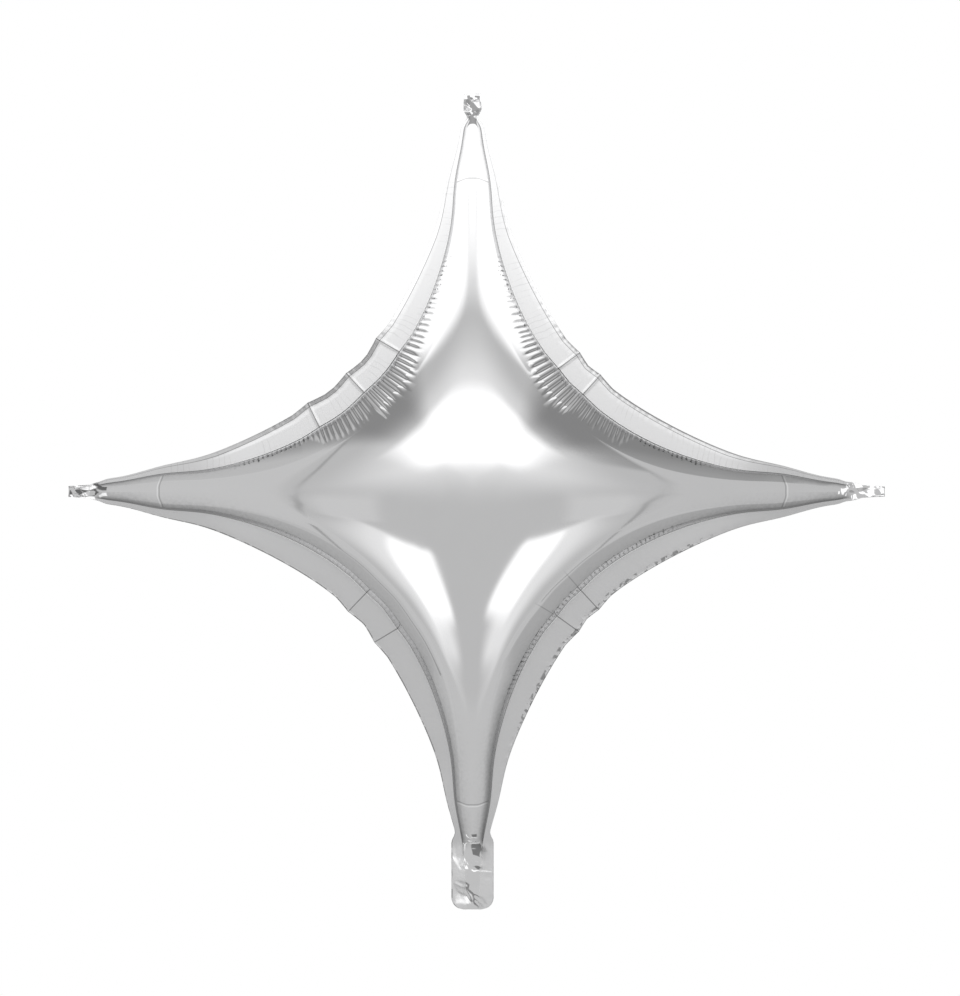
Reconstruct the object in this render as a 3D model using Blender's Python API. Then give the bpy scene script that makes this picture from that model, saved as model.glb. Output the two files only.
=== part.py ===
"""A silver foil balloon in the form of a four-pointed star, filled and sealed.

Two like sheets of metallised film are welded together round the star and filled with gas. The
sheets swell into a body between the welds, gather into puckers along the upper welds, and lie
flat on each other in the margin outside the weld, in the three tip tabs and in the filling tail.

The balloon stands as it hangs: the front faces -Y, one point is up, and the origin is the tie
neck, where the filling tail leaves the lower point. In the plan, "along" is a distance from the
star's centre along a point, and "half width" is measured square to it. Rows of the sheet follow
the sides, and columns cross them. Both come from the saddle x*z, whose lines run along a
four-pointed star's sides and whose crossing lines x*x - z*z meet its sides and points squarely.
"""

import math

import bmesh
import bpy
import numpy as np
from mathutils import Vector
from mathutils.geometry import delaunay_2d_cdt

# The star's plan, in metres
WAIST_REACH = 0.1067
HORN_REACH = 0.2745
LOWER_HORN_REACH = 0.2580
HORN_BULGE = 0.0028
BULGE_SPREAD = 0.025

# The filled body and the film
BODY_DEPTH = 0.113
FILM_THICKNESS = 0.00035

# The welded margin outside the body
MARGIN_AT_WAIST = 0.0192
MARGIN_AT_TIP = 0.0034
MARGIN_FULL_TO = 0.115
MARGIN_NARROW_FROM = 0.270
UPPER_MARGIN_LEAN_DEG = 4.0

# The tabs past the body at three of the tips: their lengths and half widths at the end
WEST_TAB_LENGTH = 0.0225
EAST_TAB_LENGTH = 0.0285
TOP_TAB_LENGTH = 0.0175
POINTED_TAB_HALF_WIDTH = 0.0022
BLUNT_TAB_HALF_WIDTH = 0.0068
TAB_ROOT_LENGTH = 0.0065

# The pinch where the upper tab leaves the body, as a share of the width, and its reach
NECK_PINCH = 0.50
NECK_SPREAD = 0.0045

# The filling tail below the lower point, and the gathers where it leaves the neck
TAIL_HALF_WIDTH = 0.0155
TAIL_LENGTH = 0.0492
TAIL_CORNER_RADIUS = 0.009
TAIL_SHOULDER_LENGTH = 0.009
GATHER_PITCH = 0.0052
GATHER_HEIGHT = 0.0011
GATHER_LENGTH = 0.022

# Puckers that run square to the weld, drawn a little wider than the film's own
PUCKER_PITCH = 0.0050
PUCKER_DEPTH = 0.0024
UPPER_PUCKERED_LENGTH = 0.150
LOWER_PUCKERED_LENGTH = 0.045
LOWER_PUCKER_SHARE = 0.35
PUCKER_DEEPEST = 0.88
PUCKER_END = 0.50

# Tucks across the margin, each side's placed along its weld from mid-side towards the level horn.
# A tuck stands off the margin as a low ridge and makes a blunt corner in the sheet's edge
TUCK_OFFSETS = {
    ("east", "top"): (-0.0195, 0.0070),
    ("east", "bottom"): (-0.0210, 0.0050),
    ("west", "bottom"): (-0.0326, 0.0026),
    ("west", "top"): (-0.0350, 0.0050, 0.0470),
}
TUCK_HEIGHT = 0.0008
TUCK_SPREAD = 0.0025
TUCK_CORNER = 0.0020
TUCK_CORNER_REACH = 0.016

# A crease across each point, past which the point tapers faster
CREASE_REACH = 0.228
CREASE_DENT = 0.16
CREASE_SPREAD = 0.0045
CREASE_TAPER = 0.22
CREASE_TAPER_LENGTH = 0.012

# How finely the sheet is divided: rows are shares of the way from the spine to the weld
COLUMNS_A_PUCKER = 3
HORN_COLUMN_STEP = 0.0105
SPINE_COLUMN_STEP = 0.0125
TIP_COLUMN_STEP = 0.0035
GATHER_ROW_STEP = 0.0065
FINE_ROWS = (1.0, 0.93, 0.84, 0.66)
COARSE_ROWS = (0.45, 0.25, 0.10, 0.03)
CURVE_SAMPLES = 600
PLAN_MERGE = 1e-6

SILVER = (0.80, 0.80, 0.81, 1.0)
FOIL_ROUGHNESS = 0.12

WAIST_HALF_WIDTH = WAIST_REACH / math.sqrt(2)
TAIL_REACH = LOWER_HORN_REACH + TAIL_LENGTH
SHEET_REACH = {"west": HORN_REACH + WEST_TAB_LENGTH, "east": HORN_REACH + EAST_TAB_LENGTH,
               "top": HORN_REACH + TOP_TAB_LENGTH, "bottom": TAIL_REACH}
BODY_REACH = {"west": HORN_REACH, "east": HORN_REACH,
              "top": HORN_REACH, "bottom": LOWER_HORN_REACH}
TAB_END = {"west": POINTED_TAB_HALF_WIDTH, "east": POINTED_TAB_HALF_WIDTH,
           "top": BLUNT_TAB_HALF_WIDTH}
HORN_DIRECTION = {"west": (-1, 0), "east": (1, 0), "top": (0, 1), "bottom": (0, -1)}

# Each side lies between a level horn and an upright one, listed clockwise from the top
SIDES = (("east", "top"), ("east", "bottom"), ("west", "bottom"), ("west", "top"))


def clear_scene():
    """Remove everything that a new file starts with."""
    for thing in list(bpy.data.objects):
        bpy.data.objects.remove(thing, do_unlink=True)


def fade(value, start, end):
    """Fall smoothly from 1 at start to 0 at end."""
    share = np.clip((value - start) / (end - start), 0.0, 1.0)
    return 0.5 + 0.5 * np.cos(math.pi * share)


def bump(value, centre, spread):
    """Rise smoothly to 1 at the centre and fall away within a few spreads."""
    return np.exp(-((value - centre) / spread) ** 2)


def weld_half_width(along):
    """The body's half width: a point that narrows evenly, with a slight bulge near its crease."""
    taper = WAIST_HALF_WIDTH * np.exp(1.0 - along / WAIST_HALF_WIDTH)
    return taper + HORN_BULGE * bump(along, CREASE_REACH, BULGE_SPREAD)


def sheet_half_width(along, horn):
    """The half width of the whole sheet, with its margin and its tab or tail."""
    weld = weld_half_width(along)
    slope = np.gradient(weld, along)
    full = fade(along, MARGIN_FULL_TO, MARGIN_NARROW_FROM)
    margin = MARGIN_AT_TIP + (MARGIN_AT_WAIST - MARGIN_AT_TIP) * full
    edge = weld + margin * np.sqrt(1.0 + slope ** 2)
    if horn == "bottom":
        shoulder = fade(along, LOWER_HORN_REACH, LOWER_HORN_REACH - TAIL_SHOULDER_LENGTH)
        edge = edge + shoulder * (TAIL_HALF_WIDTH - edge)
        past = np.clip(along - TAIL_REACH + TAIL_CORNER_RADIUS, 0.0, TAIL_CORNER_RADIUS)
        return edge - TAIL_CORNER_RADIUS + np.sqrt(TAIL_CORNER_RADIUS ** 2 - past ** 2)
    tapered = fade(along, SHEET_REACH[horn], HORN_REACH - TAB_ROOT_LENGTH)
    return edge + tapered * (TAB_END[horn] - edge)


def side_curve(level_horn, upright_horn, half_width):
    """A curve along one side as across and level values, from the upright horn to the level one."""
    across = []
    level = []
    for horn, sign in ((upright_horn, -1), (level_horn, 1)):
        along = np.linspace(WAIST_HALF_WIDTH * 0.9, SHEET_REACH[horn] * 1.02, CURVE_SAMPLES)
        width = half_width(along, horn)
        past_middle = width < along
        across.append(sign * (along[past_middle] ** 2 - width[past_middle] ** 2))
        level.append(along[past_middle] * width[past_middle])
    return (np.concatenate((across[0][::-1], across[1])),
            np.concatenate((level[0][::-1], level[1])))


def saddle_point(across, level):
    """The point of the first quarter where x*x - z*z is across and x*z is level."""
    root = np.sqrt(np.asarray(across) + 2j * np.asarray(level))
    return root.real, root.imag


WELD_ACROSS, WELD_LEVEL = side_curve("east", "top", lambda along, horn: weld_half_width(along))
WELD_X, WELD_Z = saddle_point(WELD_ACROSS, WELD_LEVEL)
WELD_STEPS = np.hypot(np.diff(WELD_X), np.diff(WELD_Z))
WELD_RUN = np.concatenate(((0.0,), np.cumsum(WELD_STEPS)))
WELD_RUN = WELD_RUN - np.interp(0.0, WELD_ACROSS, WELD_RUN)


def weld_level(across):
    """The saddle's level at the weld."""
    return np.interp(across, WELD_ACROSS, WELD_LEVEL)


def weld_run(across):
    """The distance along the weld from mid-side, positive towards the level horn."""
    return np.interp(across, WELD_ACROSS, WELD_RUN)


def puckered_length(upright_horn):
    """How much of a side is puckered: most of an upper side, a little of a lower one."""
    return UPPER_PUCKERED_LENGTH if upright_horn == "top" else LOWER_PUCKERED_LENGTH


def crease_columns():
    """Places along a horn that keep the crease sharp."""
    return [CREASE_REACH + offset * CREASE_SPREAD for offset in (-1.6, 0.0, 1.6)]


def fine_columns(level_horn, upright_horn):
    """Across values of the columns that cross the margin and the puckers of one side."""
    puckered = puckered_length(upright_horn)
    count = max(1, round(puckered / PUCKER_PITCH)) * COLUMNS_A_PUCKER
    runs = np.linspace(-puckered / 2, puckered / 2, count + 1)
    for place in TUCK_OFFSETS[level_horn, upright_horn]:
        nearest = np.argmin(np.abs(runs - place))
        if abs(runs[nearest] - place) < puckered / count:
            runs[nearest] = place
    columns = list(np.interp(runs, WELD_RUN, WELD_ACROSS))
    for horn, sign in ((upright_horn, -1), (level_horn, 1)):
        start = math.sqrt(abs(np.interp(sign * puckered / 2, WELD_RUN, WELD_ACROSS)))
        reach = SHEET_REACH[horn]
        body = BODY_REACH[horn]
        steps = max(2, round((body - start) / HORN_COLUMN_STEP))
        places = list(np.linspace(start, body, steps + 1)[1:]) + crease_columns()
        steps = max(2, round((reach - body) / TIP_COLUMN_STEP))
        places += list(np.linspace(body, reach, steps + 1)[1:])
        columns += [sign * place ** 2 for place in places]
    return np.unique(np.round(columns, 9))


def coarse_columns(level_horn, upright_horn):
    """Across values of the columns that cross the middle of the body."""
    columns = [0.0]
    for horn, sign in ((upright_horn, -1), (level_horn, 1)):
        columns += [sign * place ** 2 for place in spine_places(horn)]
    return np.unique(np.round(columns, 9))


def spine_places(horn):
    """Distances from the centre of the columns along one horn's spine."""
    reach = BODY_REACH[horn]
    steps = max(3, round(reach / SPINE_COLUMN_STEP))
    places = list(np.linspace(0.0, reach, steps + 1)[1:])
    return sorted(places[:-1] + crease_columns() + [reach - TIP_COLUMN_STEP, reach])


def tuck_corners(across, horns):
    """How far the sheet's edge stands out at its tucks: a blunt corner at each."""
    run = weld_run(across)
    corners = [np.clip(1.0 - np.abs(run - place) / TUCK_CORNER_REACH, 0.0, 1.0)
               for place in TUCK_OFFSETS[horns]]
    return TUCK_CORNER * np.max(corners, axis=0)


def gather_points():
    """Plan points across the top of the tail, where it is gathered at the neck."""
    across_tail = np.arange(GATHER_PITCH / 2, TAIL_HALF_WIDTH - GATHER_PITCH / 4, GATHER_PITCH / 2)
    widths = np.concatenate((-across_tail[::-1], (0.0,), across_tail))
    rows = np.arange(GATHER_ROW_STEP / 2, GATHER_LENGTH + GATHER_ROW_STEP, GATHER_ROW_STEP)
    return [(width, -LOWER_HORN_REACH - row) for row in rows for width in widths]


def plan_sheet():
    """Divide the flat sheet into triangles whose rows follow its welds and edges."""
    points = []
    edges = []
    outline = []
    for number, (level_horn, upright_horn) in enumerate(SIDES):
        mirror_x = HORN_DIRECTION[level_horn][0]
        mirror_z = HORN_DIRECTION[upright_horn][1]
        edge_across, edge_level = side_curve(level_horn, upright_horn, sheet_half_width)
        fine = fine_columns(level_horn, upright_horn)
        x, z = saddle_point(fine, np.interp(fine, edge_across, edge_level))
        distance = np.hypot(x, z)
        x, z = saddle_point(fine, x * z + distance * tuck_corners(fine, (level_horn, upright_horn)))
        row = [(mirror_x * a, mirror_z * b) for a, b in zip(x, z)]
        outline += row if number % 2 == 0 else row[::-1]

        rows = [(fine, share) for share in FINE_ROWS]
        rows += [(coarse_columns(level_horn, upright_horn), share) for share in COARSE_ROWS]
        lowest = -BODY_REACH[upright_horn] ** 2
        highest = BODY_REACH[level_horn] ** 2
        for columns, share in rows:
            columns = columns[(columns > lowest - PLAN_MERGE) & (columns < highest + PLAN_MERGE)]
            x, z = saddle_point(columns, share * weld_level(columns))
            first = len(points)
            points += [(mirror_x * a, mirror_z * b) for a, b in zip(x, z)]
            edges += [(place, place + 1) for place in range(first, len(points) - 1)]

    points.append((0.0, 0.0))
    for horn, (toward_x, toward_z) in HORN_DIRECTION.items():
        points += [(toward_x * place, toward_z * place) for place in spine_places(horn)]
    points += gather_points()
    first = len(points)
    points += outline
    loop = list(range(first, len(points)))
    plan = delaunay_2d_cdt([Vector(point) for point in points], edges, [loop], 1, PLAN_MERGE)
    return np.array([tuple(point) for point in plan[0]]), [tuple(face) for face in plan[2]]


def locate(plan):
    """Where each plan point lies: its side, its column, and its share of the way to the weld."""
    x = np.abs(plan[:, 0])
    z = np.abs(plan[:, 1])
    across = x ** 2 - z ** 2
    share = x * z / weld_level(across)
    along = np.sqrt(np.abs(across))
    in_lower_horn = (across < 0) & (plan[:, 1] < 0)
    body_reach = np.where(in_lower_horn, LOWER_HORN_REACH, HORN_REACH)
    inside = (share < 1.0 - PLAN_MERGE) & (along < body_reach - PLAN_MERGE)
    return across, share, along, inside


def swell(plan, faces, inside):
    """How high a thin sheet rises over the weld, from the evenly pressed membrane over it."""
    corners = plan[np.array(faces)]
    stiffness = np.zeros((len(plan), len(plan)))
    load = np.zeros(len(plan))
    numbers = np.array(faces)
    for corner in range(3):
        here = corners[:, corner]
        first = corners[:, (corner + 1) % 3] - here
        second = corners[:, (corner + 2) % 3] - here
        area_twice = np.abs(first[:, 0] * second[:, 1] - first[:, 1] * second[:, 0])
        pull = 0.5 * np.sum(first * second, axis=1) / np.maximum(area_twice, 1e-12)
        a = numbers[:, (corner + 1) % 3]
        b = numbers[:, (corner + 2) % 3]
        np.add.at(stiffness, (a, b), -pull)
        np.add.at(stiffness, (b, a), -pull)
        np.add.at(stiffness, (a, a), pull)
        np.add.at(stiffness, (b, b), pull)
        np.add.at(load, numbers[:, corner], area_twice / 6.0)
    free = np.flatnonzero(inside)
    membrane = np.zeros(len(plan))
    membrane[free] = np.linalg.solve(stiffness[np.ix_(free, free)], load[free])
    round_rise = np.sqrt(2.0 * np.maximum(membrane, 0.0))
    flattening = 1.0 - (BODY_DEPTH / 2.0) / round_rise.max()
    return round_rise * (1.0 - flattening * round_rise / round_rise.max())


def crease_share(along):
    """How much of the rise is left along a horn, with its crease and its faster taper."""
    dent = CREASE_DENT * bump(along, CREASE_REACH, CREASE_SPREAD)
    taper = CREASE_TAPER * (1.0 - fade(along, CREASE_REACH, CREASE_REACH + CREASE_TAPER_LENGTH))
    return 1.0 - dent - taper


def pucker_rise(plan, across, share):
    """How far the puckers sink below the smooth body along each weld."""
    run = weld_run(across)
    upper = plan[:, 1] > 0
    length = np.where(upper, UPPER_PUCKERED_LENGTH, LOWER_PUCKERED_LENGTH)
    depth = np.where(upper, PUCKER_DEPTH, PUCKER_DEPTH * LOWER_PUCKER_SHARE)
    along_side = fade(np.abs(run), 0.2 * length, 0.5 * length)
    from_weld = np.where(share > PUCKER_DEEPEST, fade(share, PUCKER_DEEPEST, 1.0),
                         fade(-share, -PUCKER_DEEPEST, -PUCKER_END))
    wave = 0.5 + 0.5 * np.cos(2.0 * math.pi * run / PUCKER_PITCH)
    return -depth * along_side * from_weld * wave


def margin_rise(plan, across, share):
    """How far the tucks and the tail's gathers lift the film outside the body."""
    run = weld_run(across)
    tucks = np.zeros(len(plan))
    for (level_horn, upright_horn), places in TUCK_OFFSETS.items():
        on_side = ((plan[:, 0] * HORN_DIRECTION[level_horn][0] > 0)
                   & (plan[:, 1] * HORN_DIRECTION[upright_horn][1] > 0))
        for place in places:
            tucks += TUCK_HEIGHT * bump(run, place, TUCK_SPREAD) * on_side
    below_neck = -plan[:, 1] - LOWER_HORN_REACH
    in_tail = (below_neck > 0) & (np.abs(plan[:, 0]) < TAIL_HALF_WIDTH - GATHER_PITCH / 4)
    wave = 0.5 + 0.5 * np.cos(2.0 * math.pi * plan[:, 0] / GATHER_PITCH)
    gathers = GATHER_HEIGHT * wave * fade(below_neck, 0.0, GATHER_LENGTH) * in_tail
    return np.where(share >= 1.0 - PLAN_MERGE, tucks, 0.0) + gathers


def lean(plan, across, share):
    """How far back the upper margins lean from the plane of the weld."""
    distance = np.hypot(plan[:, 0], plan[:, 1])
    beyond = np.maximum(share - 1.0, 0.0) * weld_level(across) / distance.clip(WAIST_HALF_WIDTH)
    on_side = fade(np.abs(weld_run(across)), 0.5 * UPPER_PUCKERED_LENGTH, UPPER_PUCKERED_LENGTH)
    return np.where(plan[:, 1] > 0, on_side * beyond, 0.0) * math.tan(
        math.radians(UPPER_MARGIN_LEAN_DEG))


def foil_material():
    """Bright metallised film."""
    material = bpy.data.materials.new("silver_foil")
    material.use_nodes = True
    shader = material.node_tree.nodes["Principled BSDF"]
    shader.inputs["Base Color"].default_value = SILVER
    shader.inputs["Metallic"].default_value = 1.0
    shader.inputs["Roughness"].default_value = FOIL_ROUGHNESS
    return material


def pinched(plan):
    """The plan with the sheet drawn in where the upper tab leaves the body."""
    share = 1.0 - NECK_PINCH * bump(plan[:, 1], HORN_REACH, NECK_SPREAD)
    return np.stack((plan[:, 0] * share, plan[:, 1]), axis=1)


def make_balloon(collection):
    """Lay out one sheet, swell it to the front and to the back, and close the two at their edge."""
    plan, faces = plan_sheet()
    across, share, along, inside = locate(plan)
    rise = swell(plan, faces, inside) * np.where(inside, crease_share(along), 1.0)
    puckers = np.where(inside, pucker_rise(plan, across, share), 0.0)
    outward = FILM_THICKNESS + np.maximum(rise + puckers, 0.0) + margin_rise(plan, across, share)
    backward = lean(plan, across, share)

    mesh = bmesh.new()
    for facing in (-1, 1):
        ring = [mesh.verts.new((point[0], back + facing * out, point[1] + LOWER_HORN_REACH))
                for point, out, back in zip(pinched(plan), outward, backward)]
        for face in faces:
            mesh.faces.new([ring[corner] for corner in face])
    rim = [edge for edge in mesh.edges if edge.is_boundary]
    bmesh.ops.bridge_loops(mesh, edges=rim)
    bmesh.ops.triangulate(mesh, faces=mesh.faces[:])
    bmesh.ops.recalc_face_normals(mesh, faces=mesh.faces[:])

    data = bpy.data.meshes.new("star_balloon")
    mesh.to_mesh(data)
    mesh.free()
    data.materials.append(foil_material())
    data.shade_smooth()
    balloon = bpy.data.objects.new("star_balloon", data)
    collection.objects.link(balloon)
    return balloon


def main():
    clear_scene()
    collection = bpy.data.collections.new("star foil balloon")
    bpy.context.scene.collection.children.link(collection)
    make_balloon(collection)


main()
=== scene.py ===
import math

import bmesh
import bpy
import numpy as np
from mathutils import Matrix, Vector


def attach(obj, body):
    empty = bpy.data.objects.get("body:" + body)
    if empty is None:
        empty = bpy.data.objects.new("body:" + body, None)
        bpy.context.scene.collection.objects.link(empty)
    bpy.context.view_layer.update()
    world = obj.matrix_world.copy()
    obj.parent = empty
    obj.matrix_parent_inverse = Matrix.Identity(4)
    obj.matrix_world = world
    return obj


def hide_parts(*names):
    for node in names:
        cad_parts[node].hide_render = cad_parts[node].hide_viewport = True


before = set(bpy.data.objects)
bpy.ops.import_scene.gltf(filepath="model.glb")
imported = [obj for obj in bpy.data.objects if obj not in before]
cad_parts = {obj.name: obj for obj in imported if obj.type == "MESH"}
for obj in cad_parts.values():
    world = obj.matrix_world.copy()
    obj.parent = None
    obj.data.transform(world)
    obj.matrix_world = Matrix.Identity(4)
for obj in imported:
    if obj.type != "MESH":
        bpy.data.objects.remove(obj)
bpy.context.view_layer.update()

NODE = "star_balloon"

# The star's plan, in metres, as the frame has it
WAIST_REACH = 0.1067
WAIST_HALF_WIDTH = WAIST_REACH / math.sqrt(2)
HORN_REACH = 0.2745
LOWER_HORN_REACH = 0.2580
HORN_BULGE = 0.0028
BULGE_SPREAD = 0.025
BODY_DEPTH = 0.113
FILM_HALF = 0.00035
MARGIN_AT_WAIST = 0.0192
MARGIN_AT_TIP = 0.0034
MARGIN_FULL_TO = 0.115
MARGIN_NARROW_FROM = 0.270
TAB_ROOT_REACH = 0.268
TAIL_HALF_WIDTH = 0.0155
TAIL_REACH = 0.3072
TAIL_CORNER_RADIUS = 0.009
TAIL_SHOULDER_LENGTH = 0.009
CREASE_REACH = 0.228
SHEET_REACH = {"west": 0.297, "east": 0.303, "top": 0.292, "bottom": TAIL_REACH}
TAB_END_HALF_WIDTH = {"west": 0.0008, "east": 0.0020, "top": 0.0062}
HORN_DIRECTION = {"west": (-1, 0), "east": (1, 0), "top": (0, 1), "bottom": (0, -1)}

# How finely the film is divided
PUCKER_COLUMN_STEP = 0.0005
PLAIN_COLUMN_STEP = 0.0016
HORN_COLUMN_STEP = 0.0024
TIP_COLUMN_STEP = 0.0010
PUCKERED_HALF = 0.085
LOWER_COLUMN_SHARE = 4
BODY_ROWS = 24
CURVE_SAMPLES = 1500
CURVE_START_SHARE = 0.9
CURVE_END_SHARE = 1.02

# How long and how closely the membrane is worked out
MOST_ROUNDS = 3000
CLOSE_ENOUGH = 1e-16
TINY = 1e-12
ROUNDING = 1e-9


def fade(value, start, end):
    """Fall smoothly from 1 at start to 0 at end."""
    share = np.clip((value - start) / (end - start), 0.0, 1.0)
    return 0.5 + 0.5 * np.cos(math.pi * share)


def bump(value, centre, spread):
    """Rise smoothly to 1 at the centre and fall away within a few spreads."""
    return np.exp(-((value - centre) / spread) ** 2)


def weld_half_width(along):
    """The body's half width: a point that narrows evenly, with a slight bulge near its crease."""
    taper = WAIST_HALF_WIDTH * np.exp(1.0 - along / WAIST_HALF_WIDTH)
    return taper + HORN_BULGE * bump(along, CREASE_REACH, BULGE_SPREAD)


def sheet_half_width(along, horn):
    """The half width of the whole sheet, with its margin and its tab or tail."""
    weld = weld_half_width(along)
    slope = np.gradient(weld, along)
    full = fade(along, MARGIN_FULL_TO, MARGIN_NARROW_FROM)
    margin = MARGIN_AT_TIP + (MARGIN_AT_WAIST - MARGIN_AT_TIP) * full
    edge = weld + margin * np.sqrt(1.0 + slope ** 2)
    if horn == "bottom":
        shoulder = fade(along, LOWER_HORN_REACH, LOWER_HORN_REACH - TAIL_SHOULDER_LENGTH)
        edge = edge + shoulder * (TAIL_HALF_WIDTH - edge)
        past = np.clip(along - TAIL_REACH + TAIL_CORNER_RADIUS, 0.0, TAIL_CORNER_RADIUS)
        return edge - TAIL_CORNER_RADIUS + np.sqrt(TAIL_CORNER_RADIUS ** 2 - past ** 2)
    tapered = fade(along, SHEET_REACH[horn], TAB_ROOT_REACH)
    return edge + tapered * (TAB_END_HALF_WIDTH[horn] - edge)


def side_curve(level_horn, upright_horn, half_width):
    """A curve along one side as across and level values, from the upright horn to the level one."""
    across = []
    level = []
    for horn, sign in ((upright_horn, -1), (level_horn, 1)):
        along = np.linspace(WAIST_HALF_WIDTH * CURVE_START_SHARE, SHEET_REACH[horn] * CURVE_END_SHARE,
                            CURVE_SAMPLES)
        width = half_width(along, horn)
        past_middle = width < along
        across.append(sign * (along[past_middle] ** 2 - width[past_middle] ** 2))
        level.append(along[past_middle] * width[past_middle])
    return (np.concatenate((across[0][::-1], across[1])),
            np.concatenate((level[0][::-1], level[1])))


def saddle_point(across, level):
    """The point of the first quarter where x*x - z*z is across and x*z is level."""
    root = np.sqrt(np.asarray(across) + 2j * np.asarray(level))
    return root.real, root.imag


WELD_ACROSS, WELD_LEVEL = side_curve("east", "top", lambda along, horn: weld_half_width(along))
WELD_X, WELD_Z = saddle_point(WELD_ACROSS, WELD_LEVEL)
WELD_RUN = np.concatenate(((0.0,), np.cumsum(np.hypot(np.diff(WELD_X), np.diff(WELD_Z)))))
WELD_RUN = WELD_RUN - np.interp(0.0, WELD_ACROSS, WELD_RUN)


def weld_level(across):
    """The level value of the weld at an across value."""
    return np.interp(across, WELD_ACROSS, WELD_LEVEL)


def weld_run(across):
    """The distance along the weld from the middle of a side at an across value."""
    return np.interp(across, WELD_ACROSS, WELD_RUN)


def half_side_columns(horn):
    """Across values from the middle of a side to the end of one horn."""
    steps = round(PUCKERED_HALF / (PLAIN_COLUMN_STEP if horn == "bottom" else PUCKER_COLUMN_STEP))
    runs = np.linspace(0.0, PUCKERED_HALF, steps + 1)
    puckered = np.interp(runs, WELD_RUN, WELD_ACROSS)
    start = math.sqrt(puckered[-1])
    steps = round((HORN_REACH - start) / HORN_COLUMN_STEP)
    body = np.linspace(start, HORN_REACH, steps + 1)[1:]
    steps = round((SHEET_REACH[horn] - HORN_REACH) / TIP_COLUMN_STEP)
    tip = np.linspace(HORN_REACH, SHEET_REACH[horn], steps + 1)[1:]
    return np.concatenate((puckered, body ** 2, tip ** 2))


def side_columns(level_horn, upright_horn):
    """Across values from the upright horn's end past the middle to the level horn's end."""
    return np.concatenate((-half_side_columns(upright_horn)[::-1],
                           half_side_columns(level_horn)[1:]))


def body_shares():
    """Shares of the way from the spine to the weld, closer together towards the weld."""
    return np.sin(np.linspace(0.0, math.pi / 2, BODY_ROWS + 1))


def plan_triangles(columns, rows):
    """The grid's cells cut into triangles along both diagonals, so that neither is favoured."""
    numbers = np.arange(columns * rows).reshape(columns, rows)
    a = numbers[:-1, :-1].ravel()
    b = numbers[1:, :-1].ravel()
    c = numbers[1:, 1:].ravel()
    d = numbers[:-1, 1:].ravel()
    return np.concatenate((np.stack((a, b, c), 1), np.stack((a, c, d), 1),
                           np.stack((a, b, d), 1), np.stack((b, c, d), 1)))


def pulls_and_load(plan, faces):
    """Pairs of points, how strongly each pair pulls together, and the pressed area at each point.

    Every cell is cut in both ways, so each triangle counts by half.
    """
    firsts = []
    seconds = []
    pulls = []
    load = np.zeros(len(plan))
    for corner in range(3):
        here = plan[faces[:, corner]]
        near = faces[:, (corner + 1) % 3]
        far = faces[:, (corner + 2) % 3]
        one = plan[near] - here
        two = plan[far] - here
        area_twice = np.abs(one[:, 0] * two[:, 1] - one[:, 1] * two[:, 0])
        firsts.append(near)
        seconds.append(far)
        pulls.append(0.25 * np.sum(one * two, axis=1) / np.maximum(area_twice, TINY))
        load += np.bincount(faces[:, corner], weights=area_twice / 12.0, minlength=len(plan))
    return np.concatenate(firsts), np.concatenate(seconds), np.concatenate(pulls), load


def membrane_rise():
    """The evenly pressed membrane over one quarter of the body, as rise against column and row.

    It is solved by conjugate gradients on the quarter's own rows and columns. The spines are
    lines of symmetry, so nothing holds the membrane there, and the weld holds it at zero.
    """
    across = side_columns("east", "east")
    grid_across, grid_share = np.meshgrid(across, body_shares(), indexing="ij")
    x, z = saddle_point(grid_across, grid_share * weld_level(grid_across))
    columns, rows = x.shape
    plan = np.stack((x.ravel(), z.ravel()), axis=1)
    first, second, pull, load = pulls_and_load(plan, plan_triangles(columns, rows))
    held = np.zeros((columns, rows), bool)
    held[:, -1] = True
    held[np.sqrt(np.abs(across)) >= HORN_REACH - ROUNDING, :] = True
    free = ~held.ravel()
    diagonal = (np.bincount(first, weights=pull, minlength=len(plan))
                + np.bincount(second, weights=pull, minlength=len(plan)))

    def apply(values):
        difference = pull * (values[first] - values[second])
        gathered = (np.bincount(first, weights=difference, minlength=len(plan))
                    - np.bincount(second, weights=difference, minlength=len(plan)))
        return gathered * free

    membrane = np.zeros(len(plan))
    residual = load * free
    scaled = residual / diagonal
    direction = scaled.copy()
    strength = residual @ scaled
    start_strength = strength
    for _ in range(MOST_ROUNDS):
        pushed = apply(direction)
        step = strength / (direction @ pushed)
        membrane += step * direction
        residual -= step * pushed
        scaled = residual / diagonal
        next_strength = residual @ scaled
        if next_strength < CLOSE_ENOUGH * start_strength:
            break
        direction = scaled + (next_strength / strength) * direction
        strength = next_strength
    round_rise = np.sqrt(2.0 * np.maximum(membrane, 0.0)).reshape(columns, rows)
    return across, round_rise


# The film's small forms, in metres. A run is a distance along the weld from the middle of a side,
# positive towards the left or right point. The puckers' length and height go by their run
WIDE_PUCKER_PITCH = 0.0044
NARROW_PUCKER_PITCH = 0.0038
WIDE_PUCKERS = (-0.092, 0.0060)
WIDE_PUCKER_FADES = (0.015, 0.002)
PUCKER_WANDER = 0.25
PUCKER_WANDER_REACH = 0.03
PUCKER_COUNT_REACH = 0.30
PUCKER_COUNT_PLACES = 3001
PUCKER_HEIGHT = 0.0013
PUCKER_START = 0.0022
PUCKER_END = (0.86, 1.02)
PUCKER_ROUNDNESS = 0.55
GROOVE_SHARPNESS = 1.2
MOST_PUCKERS = 400
PUCKER_LENGTH_SPREAD = (0.92, 1.06)
PUCKER_HEIGHT_SPREAD = (0.80, 1.10)
PUCKER_RUNS = (-0.115, -0.090, -0.060, -0.035, -0.020, 0.0050, 0.0065, 0.045, 0.055, 0.110)
PUCKER_LENGTHS = (0.0015, 0.0056, 0.0100, 0.0130, 0.0190, 0.0220, 0.0160, 0.0120, 0.0040, 0.0020)
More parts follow.
